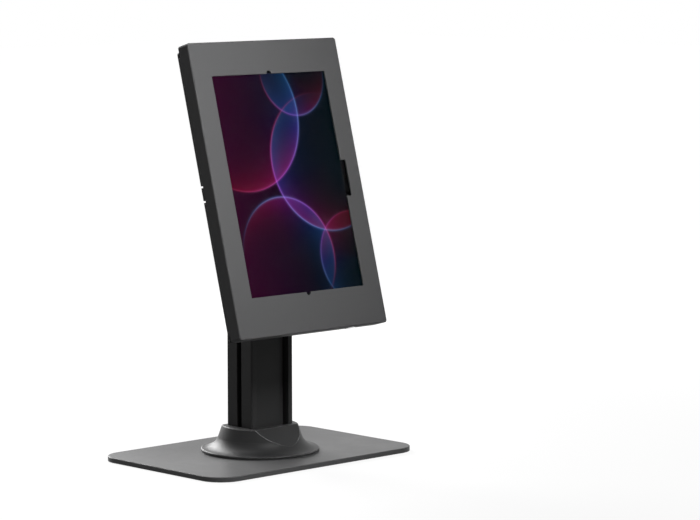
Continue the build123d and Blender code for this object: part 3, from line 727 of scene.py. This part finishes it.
def add_screws(node, body, pattern, screw, **values):
    """Put socket screws where the solid model has its plain ones."""
    mesh = run_pattern(pattern, "socket_" + node, screw, "dark_steel", **values)
    piece("socket_" + node, mesh, body, "dark_steel", None, node)


def add_end_screws(node, low, high, from_below):
    """Countersunk screws in one end of the column, within the box of the model's plain ones."""
    head = 0.004
    screw = screw_mesh(shank=0.0025, head=head, head_height=0.0015, length=high.z - low.z)
    add_screws(node, "stand", "parts_on_rectangle", screw, Width=high.x - low.x - 2 * head,
               Depth=high.y - low.y - 2 * head, Place=(0.0, 0.0, low.z if from_below else high.z),
               Lean=(math.pi if from_below else 0.0, 0.0, 0.0))


# Operators

class STAND_OT_finishes(bpy.types.Operator):
    """Build the shared shader groups, the patterns and the finishes"""

    bl_idname = "stand.finishes"
    bl_label = "Finishes"

    def execute(self, context):
        colours = context.scene.stand_colours
        for build in (build_coat_group, build_edge_group, build_drawn_group, build_handling_group,
                      build_ring_group, build_rectangle_pattern, build_circle_pattern):
            build()
        # Each coat: name, colour, roughness, scale of its grain and depth of its grain
        coated("housing_coat", colours.housing, 0.55, 2400.0, 0.00006, specular=0.04, clouds=0.05)
        coated("base_coat", colours.base, 0.40, 3200.0, 0.00003, specular=0.10, clouds=0.04, spread=0.04)
        coated("bracket_coat", colours.collar, 0.5, 2400.0, 0.00006, specular=0.3)
        # The collar's edges are painted up to fifteen times paler: a painted highlight along its crease and
        # rim
        coated("collar_coat", colours.collar, 0.48, 4200.0, 0.00002, specular=0.15, clouds=0.03, spread=0.03,
               edge_wear_and_highlight=15.0, edge_share=2.6, edge_gain=13.0)
        coated("strip_black", colours.column, 0.5, 3600.0, 0.00003, specular=0.085)
        coated("rubber_black", (0.02, 0.02, 0.02, 1.0), 0.8, 1500.0, 0.0001, specular=0.25, edge_wear_and_highlight=1.1)
        coated("nylon_black", (0.03, 0.03, 0.031, 1.0), 0.45, 2600.0, 0.00002, specular=0.35)
        coated("tablet_metal", colours.tablet, 0.38, 6000.0, 0.00001, metallic=1.0, clouds=0.02,
               edge_wear_and_highlight=1.05)
        coated("lens_glass", (0.004, 0.004, 0.008, 1.0), 0.06, 300.0, 0.0, specular=0.6, edge_wear_and_highlight=1.0)
        coated("bezel_ink", (0.0015, 0.0015, 0.0018, 1.0), 0.5, 900.0, 0.0, specular=0.05, edge_wear_and_highlight=1.0)
        # Each metal: name, colour, metallic share, roughness, specular level and lines per metre
        drawn_metal("column_black", colours.column, 0.0, 0.42, 0.075, 2600.0)
        drawn_metal("dark_steel", colours.steel, 1.0, 0.38, 0.5, 4000.0)
        drawn_metal("lock_metal", (0.62, 0.62, 0.63, 1.0), 1.0, 0.25, 0.5, 5000.0)
        foam_material("foam_grey", colours.foam)
        glass_material("tablet_glass")
        display_material("lit_display")
        return {"FINISHED"}


class STAND_OT_base(bpy.types.Operator):
    """Dress the base plate and the collar, and add the feet and the screws from below"""

    bl_idname = "stand.base"
    bl_label = "Base"

    def execute(self, context):
        dress("base_coat", "base_plate")
        dress("collar_coat", "collar")
        low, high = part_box("base_feet")
        foot = turned_mesh("foot", shares_of(foot_radius, high.z, [
            (0.45, 1.0), (0.96, 1.0), (1.0, 0.8), (1.0, 0.25), (0.95, 0.0), (0.62, 0.0), (0.58, 0.35),
            (0.2, 0.35)]), 48)
        mesh = run_pattern("parts_on_rectangle", "moulded_feet", foot, "rubber_black",
                           Width=high.x - low.x - 2 * foot_radius, Depth=high.y - low.y - 2 * foot_radius,
                           Place=(0.0, 0.0, 0.0), Lean=(0.0, 0.0, 0.0))
        piece("moulded_feet", mesh, "stand", "rubber_black", None, "base_feet")
        low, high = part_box("base_screws")
        add_end_screws("base_screws", low, high, from_below=True)
        return {"FINISHED"}


class STAND_OT_column(bpy.types.Operator):
    """Dress the column, its strips, its cap and the cap's screws"""

    bl_idname = "stand.column"
    bl_label = "Column"

    def execute(self, context):
        dress("column_black", "column")
        dress("strip_black", "front_strip", "rear_strip")
        dress("bracket_coat", "column_cap")
        low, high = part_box("cap_screws")
        add_end_screws("cap_screws", low, high, from_below=False)
        return {"FINISHED"}


class STAND_OT_head(bpy.types.Operator):
    """Dress the tilting head, with a knurled tilt bolt and the screws of the hub"""

    bl_idname = "stand.head"
    bl_label = "Head"

    def execute(self, context):
        sizes = context.scene.stand_sizes
        dress("bracket_coat", "tilt_bracket", "bracket_ears", "swivel_hub")
        dress("nylon_black", "friction_washer", "tilt_washers")
        dress("dark_steel", "tilt_nut", "tilt_bolt")
        dress("housing_coat", "retaining_ring")
        low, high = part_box("tilt_bolt")
        head_radius = (high.z - low.z) / 2
        rib = knurl_mesh(head_radius, bolt_head_height, sizes.knurl_count, sizes.knurl_depth)
        mesh = run_pattern("parts_on_circle", "bolt_knurls", rib, "dark_steel",
                           Count=sizes.knurl_count, Radius=head_radius, First_angle=0.0,
                           Place=(low.x, tilt_centre.y, tilt_centre.z), Lean=(0.0, math.pi / 2, 0.0))
        piece("bolt_knurls", mesh, "stand", "dark_steel", None)
        screw = screw_mesh(shank=0.002, head=0.004, head_height=0.002, length=0.006)
        add_screws("hub_screws", "head", "parts_on_circle", screw, Count=4, Radius=hub_screw_circle,
                   First_angle=math.pi / 4, Place=turn_centre - outward * hub_screws_behind_turn,
                   Lean=facing_out)
        screw = screw_mesh(shank=0.0015, head=0.0029, head_height=0.0014, length=0.008)
        add_screws("ring_screws", "head", "parts_on_circle", screw, Count=3, Radius=ring_screw_circle,
                   First_angle=0.0, Place=on_housing(0.0, 0.0, ring_screw_top), Lean=facing_out)
        return {"FINISHED"}


class STAND_OT_cradle(bpy.types.Operator):
    """Dress the tray, the inner frame, the rails and their pads"""

    bl_idname = "stand.cradle"
    bl_label = "Cradle"

    def execute(self, context):
        dress("housing_coat", "back_tray", "inner_frame", "upper_rail", "lower_rail", "strike_plate",
              "tray_hinge_arms")
        dress("bracket_coat", "swivel_plate")
        dress("dark_steel", "hinge_pins")
        dress("foam_grey", "foam_pads")
        screw = screw_mesh(shank=0.002, head=0.004, head_height=0.0022, length=0.0062, sunk=False)
        add_screws("plate_screws", "cradle", "parts_on_rectangle", screw, Width=plate_screw_spacing,
                   Depth=plate_screw_spacing, Place=on_housing(0.0, 0.0, plate_screw_top), Lean=facing_out)
        return {"FINISHED"}


class STAND_OT_tablet(bpy.types.Operator):
    """Dress the tablet, with its lit display, inked border and cameras"""

    bl_idname = "stand.tablet"
    bl_label = "Tablet"

    def execute(self, context):
        sizes = context.scene.stand_sizes
        dress("tablet_metal", "tablet_shell")
        dress("lit_display", "tablet_display")
        width, height, corner = sizes.pane_width, sizes.pane_height, sizes.pane_corner
        bevel = 0.00025
        pane_back = display_front - 0.0001
        pane = wrapped_mesh("glass_pane", [
            (rounded_outline(width - 2 * bevel, height - 2 * bevel, corner - bevel), tablet_front),
            (rounded_outline(width, height, corner), tablet_front + bevel),
            (rounded_outline(width, height, corner), pane_back)])
        piece("glass_pane", pane, "cradle", "tablet_glass", "tablet_glass", "tablet_glass")
        ink_margin = 0.0002
        picture_corner = 0.0004
        ink_front = display_front - 0.00004
        ink_back = display_front - 0.00001
        outer = rounded_outline(width - ink_margin, height - ink_margin, corner)
        inner = rounded_outline(sizes.picture_width, sizes.picture_height, picture_corner)
        border = wrapped_mesh("inked_border", [(outer, ink_front), (outer, ink_back), (inner, ink_back),
                                               (inner, ink_front)], ring=True)
        piece("inked_border", border, "cradle", "display", "bezel_ink")
        self.front_camera(sizes.front_lens_radius)
        self.rear_camera(sizes.lens_radius)
        return {"FINISHED"}

    def front_camera(self, radius):
        """A small lens behind the glass, at the notch in the top of the window."""
        lens = turned_mesh("front_lens", [
            (radius * 0.15, 0.00002), (radius * 0.55, 0.00003), (radius * 0.62, 0.0), (radius, 0.0),
            (radius, -0.00002)])
        lens_face = display_front - 0.00008
        put_on_housing(lens, 0.0, front_camera_height, lens_face)
        piece("front_lens", lens, "cradle", "tablet_glass", "lens_glass")

    def rear_camera(self, radius):
        """A raised ring with a lens in it, seen through the window in the back tray."""
        height = 0.0010
        ring = [(0.80, 0.6), (0.80, 0.95), (0.83, 1.0), (0.94, 1.0), (1.0, 0.85), (1.0, 0.0)]
        lens = [(0.30, 0.74), (0.42, 0.76), (0.46, 0.88), (0.79, 0.88), (0.79, 0.62)]
        for name, shares, slot, finish in (("rear_camera_ring", ring, "tablet_metal", "tablet_metal"),
                                           ("rear_camera_lens", lens, "tablet_glass", "lens_glass")):
            mesh = turned_mesh(name, shares_of(radius, height, shares), 64)
            put_on_housing(mesh, *rear_camera_place, tablet_back, facing_back=True)
            piece(name, mesh, "cradle", slot, finish)


class STAND_OT_cover(bpy.types.Operator):
    """Dress the front cover, its hinge and its lock"""

    bl_idname = "stand.cover"
    bl_label = "Cover"

    def execute(self, context):
        dress("housing_coat", "front_cover", "cover_hinge_leaves")
        dress("lock_metal", "lock_barrel", "lock_nut", "lock_plug", "lock_cam")
        dress("dark_steel", "cam_screw")
        return {"FINISHED"}


class STAND_OT_stage(bpy.types.Operator):
    """Set up the pale floor, the lamps, the surroundings and the camera"""

    bl_idname = "stand.stage"
    bl_label = "Stage"

    def execute(self, context):
        scene = context.scene
        settings = scene.stage_settings
        self.make_floor(settings.floor_width / 2)
        self.make_world(scene, settings.ambient)
        self.make_lamp("top_light", settings.top_power, 0.3, (-0.12, 0.36, 1.10))
        self.make_lamp("front_light", settings.front_power, 0.36, (-0.12, -0.66, 0.88),
                       aim=(-0.18, -0.05, 0.32), spread=math.radians(70.0))
        self.make_lamp("side_light", settings.side_power, 0.8, (1.3, -1.2, 0.9))
        self.make_lamp("back_light", settings.back_power, 0.7, (0.22, 1.25, 0.65))
        camera_data = bpy.data.cameras.new("camera")
        camera_data.lens = settings.focal_length
        camera_data.sensor_width = 36.0
        camera_data.clip_end = 100.0
        camera = bpy.data.objects.new("camera", camera_data)
        camera.location = settings.camera_place
        camera.rotation_euler = (math.pi / 2 - settings.camera_down, settings.camera_roll,
                                 -settings.camera_heading)
        scene.collection.objects.link(camera)
        scene.camera = camera
        scene.view_settings.view_transform = "Standard"
        return {"FINISHED"}

    def make_floor(self, half):
        """A plain white floor that keeps the shadow."""
        mesh = bpy.data.meshes.new("floor")
        corners = [(-half, -half, 0.0), (half, -half, 0.0), (half, half, 0.0), (-half, half, 0.0)]
        mesh.from_pydata(corners, [], [(0, 1, 2, 3)])
        floor = bpy.data.objects.new("floor", mesh)
        bpy.context.scene.collection.objects.link(floor)
        tree, shader, position = start_material("pale_floor")
        glow = eased(tree, vector_of(tree, "LENGTH", position), 0.35, 1.5, 0.90, 1.0)
        feed(tree, shader, Emission_Color=(1.0, 1.0, 1.0, 1.0), Base_Color=(0.12, 0.12, 0.12, 1.0),
             Emission_Strength=times(tree, seen_rays(tree), glow), Roughness=0.9, Specular_IOR_Level=0.0)
        mesh.materials.append(finishes["pale_floor"])

    def make_world(self, scene, ambient):
        """White to the camera and in reflections, dim as a source of light."""
        world = bpy.data.worlds.new("surroundings")
        scene.world = world
        world.use_nodes = True
        tree = world.node_tree
        tree.nodes.clear()
        strength = number_of(tree, "MULTIPLY_ADD", seen_rays(tree), 1.0 - ambient, ambient)
        background = put(tree, "ShaderNodeBackground")
        feed(tree, background, Color=(1.0, 1.0, 1.0, 1.0), Strength=strength)
        feed(tree, put(tree, "ShaderNodeOutputWorld"), Surface=background.outputs[0])

    def make_lamp(self, name, power, size, place, aim=(0.0, 0.0, 0.22), spread=math.pi):
        """A soft square lamp, with the point that it is aimed at and the width of its beam."""
        data = bpy.data.lights.new(name, "AREA")
        data.energy = power
        data.size = size
        data.spread = spread
        lamp = bpy.data.objects.new(name, data)
        lamp.location = place
        beam = Vector(aim) - Vector(place)
        lamp.rotation_euler = beam.to_track_quat("-Z", "Y").to_euler()
        lamp.visible_camera = False
        bpy.context.scene.collection.objects.link(lamp)


class STAND_PT_tools(bpy.types.Panel):
    """Lists the steps and the sizes of the stand"""

    bl_idname = "STAND_PT_tools"
    bl_label = "Tablet display stand"
    bl_space_type = "VIEW_3D"
    bl_region_type = "UI"
    bl_category = "Stand"

    def draw(self, context):
        column = self.layout.column()
        for step in steps:
            column.operator(step.bl_idname)
        scene = context.scene
        for settings in (scene.stand_sizes, scene.stand_colours, scene.stage_settings):
            for key in settings.__annotations__:
                column.prop(settings, key)


steps = (STAND_OT_finishes, STAND_OT_base, STAND_OT_column, STAND_OT_head, STAND_OT_cradle, STAND_OT_tablet,
         STAND_OT_cover, STAND_OT_stage)
classes = (StandSizes, StandColours, StageSettings) + steps + (STAND_PT_tools,)


def register():
    """Register the classes and their settings."""
    for entry in classes:
        bpy.utils.register_class(entry)
    bpy.types.Scene.stand_sizes = bpy.props.PointerProperty(type=StandSizes)
    bpy.types.Scene.stand_colours = bpy.props.PointerProperty(type=StandColours)
    bpy.types.Scene.stage_settings = bpy.props.PointerProperty(type=StageSettings)


def unregister():
    """Take the settings and the classes away again."""
    del bpy.types.Scene.stage_settings
    del bpy.types.Scene.stand_colours
    del bpy.types.Scene.stand_sizes
    for entry in reversed(classes):
        bpy.utils.unregister_class(entry)


def main():
    """Run every step in order."""
    register()
    bpy.ops.stand.finishes()
    bpy.ops.stand.base()
    bpy.ops.stand.column()
    bpy.ops.stand.head()
    bpy.ops.stand.cradle()
    bpy.ops.stand.tablet()
    bpy.ops.stand.cover()
    bpy.ops.stand.stage()


if __name__ == "__main__":
    main()
